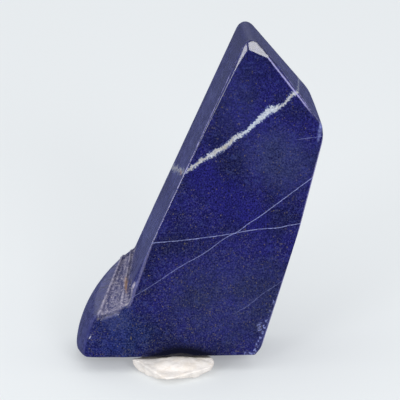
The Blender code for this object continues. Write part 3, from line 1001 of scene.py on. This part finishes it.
class OBJECT_OT_lapis_stone(bpy.types.Operator):
    """Shape the polished stone and give it its lapis, veins, pyrite and rough hollow"""

    bl_idname = "object.lapis_stone"
    bl_label = "Lapis Stone"
    bl_options = {"REGISTER", "UNDO"}

    def execute(self, context):
        stone = context.scene.lapis_stone
        piece = self.slice_block()
        combine(piece, self.shape_foot(), "UNION")
        combine(piece, self.shape_envelope(stone), "INTERSECT")
        for start, radius, end_radius, length in FLUTES:
            combine(piece, self.shape_flute(start, radius, end_radius, length), "DIFFERENCE")
        deselect_all()
        bpy.ops.mesh.primitive_ico_sphere_add(
            subdivisions=5, radius=SCOOP_RADIUS, location=SCOOP_CENTRE
        )
        combine(piece, name_new("scoop"), "DIFFERENCE")
        apply_modifier(piece, "REMESH", mode="VOXEL", voxel_size=stone.skin)
        apply_modifier(piece, "SMOOTH", iterations=stone.polish)
        self.soften_foot(piece)
        self.roughen_hollow(piece, stone)
        share = TRIANGLE_LIMIT / sum(len(face.vertices) - 2 for face in piece.data.polygons)
        if share < 1.0:
            apply_modifier(piece, "DECIMATE", ratio=share)
        piece.rotation_euler = (-LEAN, 0.0, 0.0)
        piece.location = STAND
        settle(piece)
        fit_to_box(piece, *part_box("lapis_stone"))
        finish_surface(piece, lapis_material(stone))
        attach(piece, "root")
        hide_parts("lapis_stone")
        return {"FINISHED"}

    def slice_block(self):
        piece = add_block("polished_stone")
        for cut in (LEFT_SIDE, TOP_SIDE, RIGHT_SIDE, LOW_SIDE):
            slice_off(piece, *cut)
        grind_corner(piece, APEX, APEX_RADIUS)
        grind_corner(piece, SHOULDER, SHOULDER_RADIUS)
        for cut in (SHOULDER_CUT, CHEEK_CUT, LEFT_STRIP_CUT):
            slice_off(piece, *cut)
        return piece

    def shape_foot(self):
        deselect_all()
        bpy.ops.mesh.primitive_ico_sphere_add(
            subdivisions=6, radius=1.0, location=BULGE_CENTRE, rotation=(0.0, BULGE_LEAN, 0.0),
            scale=BULGE_RADII,
        )
        foot = name_new("foot")
        settle(foot)
        slice_off(foot, *HOLLOW_CUT)
        return foot

    def shape_envelope(self, stone):
        envelope = add_block("envelope")
        for cut in FRONT_CUTS:
            slice_off(envelope, *cut)
        for (x, z), normal in BACK_CUTS:
            slice_off(envelope, (x, stone.thickness, z), normal)
        slice_off(envelope, (0.0, stone.thickness, 0.0), (0.0, 1.0, 0.0))
        side, down = LOW_SIDE[1].normalized(), Vector(BASE[1])
        corner = Vector((HEEL[0], 0.0, HEEL[1]))
        centre = corner - HEEL_RADIUS * (down + side) / (1.0 + down.dot(side))
        for step in range(1, ARC_STEPS):
            normal = down.slerp(side, step / ARC_STEPS)
            slice_off(envelope, centre + HEEL_RADIUS * normal, normal)
        return envelope

    def shape_flute(self, start, radius, end_radius, length):
        lift = Vector(HOLLOW_CUT[1]).normalized() * radius
        near = Vector(start) + lift - FLUTE_RUN * FLUTE_OVERRUN
        far = near + FLUTE_RUN * (length + FLUTE_OVERRUN)
        deselect_all()
        bpy.ops.mesh.primitive_cone_add(
            vertices=48, radius1=radius, radius2=end_radius, depth=(far - near).length,
            location=(near + far) / 2, rotation=FLUTE_RUN.to_track_quat("Z", "Y").to_euler(),
        )
        return name_new("flute")

    def soften_foot(self, piece):
        """The foot is worn round by handling, low on its left and left of the flutes."""
        def near_corner(co):
            left, below = FOOT_CORNER[0] - co.x, FOOT_CORNER[1] - co.z
            return rise(left, 0.0, FOOT_CORNER_FADE) * rise(below, 0.0, FOOT_CORNER_FADE)

        def left_of_flutes(co):
            low, high = FOOT_SIDE_HEIGHTS
            beyond = LEFT_RIDGE[0] + LEFT_RIDGE[1] * co.y - FOOT_SIDE_GAP - co.x
            return rise(beyond, 0.0, FOOT_SIDE_FADE) if low < co.z < high else 0.0

        mark_region(piece, "foot_corner", near_corner)
        mark_region(piece, "foot_side", left_of_flutes)
        apply_modifier(piece, "SMOOTH", iterations=FOOT_CORNER_PASSES, vertex_group="foot_corner")
        apply_modifier(piece, "SMOOTH", iterations=FOOT_SIDE_PASSES, vertex_group="foot_side")

    def roughen_hollow(self, piece, stone):
        """Natural relief where the saw and the polish never reached: two flutes with a ridge
        either side of the wider one, and a fine crust over both."""
        point, out = Vector(HOLLOW_CUT[0]), Vector(HOLLOW_CUT[1]).normalized()
        apex, side = Vector(LEFT_SIDE[0]), LEFT_SIDE[1].normalized()

        def across(co):
            """0 on the left ridge, 1 on the right ridge, or None away from the hollow."""
            over, outside = (co - point).dot(out), (co - apex).dot(side)
            highest = SKIN_OVER_FOOT if outside > -SIDE_SLACK else SKIN_OVER_BODY
            if co.z < SKIN_LOWEST or co.y > SKIN_BACK or outside < -SKIN_REACH:
                return None
            if not -SKIN_UNDER < over < highest:
                return None
            if outside < -SIDE_SLACK and not SKIN_IN_BODY[0] < co.y < SKIN_IN_BODY[1]:
                return None
            left = LEFT_RIDGE[0] + LEFT_RIDGE[1] * co.y
            right = RIGHT_RIDGE[0] + RIGHT_RIDGE[1] * co.y
            return (co.x - left) / (right - left)

        def sag(co):
            t = across(co)
            if t is None or not 0.0 <= t <= NARROW_FLUTE_END:
                return 0.0
            if t < 1.0:
                return 4.0 * t * (1.0 - t)
            return NARROW_FLUTE_SAG * (t - 1.0) * (NARROW_FLUTE_END - t) * 4.0

        def crest(co):
            t = across(co)
            if t is None:
                return 0.0
            return max(0.0, 1.0 - abs(t) / LEFT_CREST, 1.0 - abs(t - 1.0) / RIGHT_CREST)

        def crusted(co):
            t = across(co)
            if t is None:
                return 0.0
            return rise(t, -SKIN_FADE, SKIN_FADE) * rise(co.y, -0.0002, 0.001)

        mark_region(piece, "sag", sag)
        mark_region(piece, "crest", crest)
        strengths = mark_region(piece, "crust", crusted)
        painted = piece.data.attributes.new("crust_paint", "FLOAT", "POINT")
        painted.data.foreach_set("value", strengths)
        apply_modifier(piece, "DISPLACE", strength=-stone.flute_depth, mid_level=0.0,
                       vertex_group="sag")
        apply_modifier(piece, "DISPLACE", strength=CREST_SHARE * stone.flute_depth, mid_level=0.0,
                       vertex_group="crest")
        apply_modifier(piece, "DISPLACE", texture=cloud_texture("crust", 0.0013, 3),
                       strength=stone.crust_height, mid_level=0.5, vertex_group="crust")


class OBJECT_OT_lapis_putty(bpy.types.Operator):
    """Press the lump of white display putty under the front of the stone"""

    bl_idname = "object.lapis_putty"
    bl_label = "Display Putty"
    bl_options = {"REGISTER", "UNDO"}

    def execute(self, context):
        putty = context.scene.lapis_putty
        size = (putty.width, putty.depth, putty.height)
        piece = self.pinch_off("pressed_putty", PUTTY_CENTRE, size)
        apply_modifier(piece, "DISPLACE", texture=cloud_texture("thumbed", 0.010, 1),
                       strength=0.0026, mid_level=0.5)
        for cut in PUTTY_CUTS:
            slice_off(piece, *cut)
        well = self.pinch_off("well", WELL_CENTRE, WELL_SIZE)
        pick(piece)
        well.select_set(True)
        bpy.ops.object.join()
        apply_modifier(piece, "REMESH", mode="VOXEL", voxel_size=PUTTY_SKIN)
        apply_modifier(piece, "SMOOTH", iterations=PUTTY_PASSES)
        apply_modifier(piece, "DISPLACE", texture=cloud_texture("creases", 0.0030, 2),
                       strength=0.0007, mid_level=0.5)
        fit_to_box(piece, *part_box("putty_lump"))
        finish_surface(piece, self.material(putty))
        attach(piece, "root")
        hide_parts("putty_lump")
        return {"FINISHED"}

    def pinch_off(self, name, centre, size):
        deselect_all()
        bpy.ops.mesh.primitive_ico_sphere_add(
            subdivisions=6, radius=1.0, location=centre, scale=[d / 2 for d in size]
        )
        lump = name_new(name)
        settle(lump)
        return lump

    def material(self, putty):
        groups = finish_groups()
        material, tree, shader = new_material("white_putty")
        place = put(tree, "ShaderNodeMapping",
                    {"Vector": tree.nodes.new("ShaderNodeTexCoord").outputs["Object"],
                     "Scale": (MM, MM, MM)}).outputs[0]
        mottle = noise(tree, place, 0.35, 4.0, 0.6)
        warm = [level * share for level, share in zip(putty.colour, (0.93, 0.90, 0.86))]
        colour = blend_colour(tree, ramp(tree, mottle, 0.4, 0.7), putty.colour, warm)
        # Painted shade: greyer on the putty's top at the left, close under the stone
        shade_on_putty = use_group(tree, groups["Soft Patch"], {
            "Place": place, "Centre": (-17.0, -20.0, 4.0), "Radii": (6.0, 6.0, 2.5),
            "Unevenness": 1.2, "Grain": 0.4})["Mask"]
        colour = blend_colour(tree, calc(tree, "MULTIPLY", shade_on_putty, 0.5), colour, PUTTY_PAINTED_SHADE)
        wrinkles = noise(tree, stretch(tree, place, (0.6, 0.6, 1.6)), 0.9, 5.0, 0.6)
        bump = put(tree, "ShaderNodeBump",
                   {"Strength": 0.5, "Distance": 0.0004, "Height": wrinkles})
        fill(tree, shader, {
            "Base Color": colour, "Roughness": ramp(tree, mottle, 0.3, 0.7, 0.55, 0.8),
            "Normal": bump.outputs[0]})
        return material


def direction(azimuth, elevation):
    """The way from the stone to a lamp or to the camera."""
    level = cos(elevation)
    return Vector((sin(azimuth) * level, -cos(azimuth) * level, sin(elevation)))


class SCENE_OT_lapis_studio(bpy.types.Operator):
    """Set the pale table, the soft light and the camera"""

    bl_idname = "scene.lapis_studio"
    bl_label = "Light Studio"
    bl_options = {"REGISTER", "UNDO"}

    def execute(self, context):
        studio = context.scene.lapis_studio
        self.lay_table(studio)
        self.light_sky(context)
        self.hang_softbox("softbox_left", azimuth=-32.0, elevation=14.6, size=0.34, radiance=12.0)
        self.hang_softbox("softbox_right", azimuth=17.0, elevation=22.5, size=0.30, radiance=14.0)
        self.place_camera(context, studio)
        context.scene.view_settings.view_transform = "Standard"
        return {"FINISHED"}

    def lay_table(self, studio):
        deselect_all()
        bpy.ops.mesh.primitive_circle_add(vertices=96, radius=studio.table, fill_type="NGON")
        table = name_new("pale_table")
        material, tree, shader = new_material("pale_table")
        fill(tree, shader, {
            "Base Color": tint(studio.table_colour), "Roughness": 0.9, "Specular IOR Level": 0.0,
            "Emission Color": TABLE_GLOW_COLOUR, "Emission Strength": studio.table_glow})
        table.data.materials.append(material)
        table.visible_glossy = False

    def light_sky(self, context):
        """Soft white overhead, dim at and below the horizon so the stone mirrors little."""
        world = bpy.data.worlds.new("soft_sky")
        world.use_nodes = True
        context.scene.world = world
        tree = world.node_tree
        up = put(tree, "ShaderNodeSeparateXYZ",
                 {0: tree.nodes.new("ShaderNodeTexCoord").outputs["Generated"]}).outputs[2]
        sky = blend_colour(tree, ramp(tree, up, 0.0, 0.5), HORIZON_COLOUR, SKY_COLOUR)
        tree.links.new(sky, tree.nodes["Background"].inputs["Color"])

    def hang_softbox(self, name, azimuth, elevation, size, radiance):
        towards = direction(radians(azimuth), radians(elevation))
        deselect_all()
        bpy.ops.object.light_add(
            type="AREA", location=AIM + towards * LAMP_DISTANCE,
            rotation=towards.to_track_quat("Z", "Y").to_euler(),
        )
        lamp = bpy.context.object
        lamp.name = name
        lamp.data.shape = "SQUARE"
        lamp.data.size = size
        lamp.data.energy = radiance * pi * size * size
        lamp.visible_camera = False

    def place_camera(self, context, studio):
        back = direction(studio.azimuth, studio.elevation)
        turn = back.to_track_quat("Z", "Y")
        aim = AIM + turn @ Vector((*AIM_SHIFT, 0.0))
        bpy.ops.object.camera_add(location=aim + back * studio.distance, rotation=turn.to_euler())
        camera = context.object
        camera.name = "camera"
        camera.data.sensor_width = SENSOR_WIDTH
        camera.data.lens = SENSOR_WIDTH * studio.distance / studio.view_width
        camera.data.clip_end = 20.0
        context.scene.camera = camera


class VIEW3D_PT_lapis(bpy.types.Panel):
    """Build and adjust the stone, its putty and the studio"""

    bl_idname = "VIEW3D_PT_lapis"
    bl_label = "Lapis Free Form"
    bl_space_type = "VIEW_3D"
    bl_region_type = "UI"
    bl_category = "Lapis"

    def draw(self, context):
        scene = context.scene
        for settings, operator in ((scene.lapis_stone, "object.lapis_stone"),
                                   (scene.lapis_putty, "object.lapis_putty"),
                                   (scene.lapis_studio, "scene.lapis_studio")):
            box = self.layout.box()
            for key in settings.__annotations__:
                box.prop(settings, key)
            box.operator(operator)


CLASSES = (
    LapisStoneSettings, LapisPuttySettings, LapisStudioSettings, OBJECT_OT_lapis_stone,
    OBJECT_OT_lapis_putty, SCENE_OT_lapis_studio, VIEW3D_PT_lapis,
)


def register():
    for item in CLASSES:
        bpy.utils.register_class(item)
    bpy.types.Scene.lapis_stone = bpy.props.PointerProperty(type=LapisStoneSettings)
    bpy.types.Scene.lapis_putty = bpy.props.PointerProperty(type=LapisPuttySettings)
    bpy.types.Scene.lapis_studio = bpy.props.PointerProperty(type=LapisStudioSettings)


def unregister():
    del bpy.types.Scene.lapis_stone, bpy.types.Scene.lapis_putty, bpy.types.Scene.lapis_studio
    for item in reversed(CLASSES):
        bpy.utils.unregister_class(item)


def main():
    register()
    bpy.ops.object.lapis_stone()
    bpy.ops.object.lapis_putty()
    bpy.ops.scene.lapis_studio()


if __name__ == "__main__":
    main()
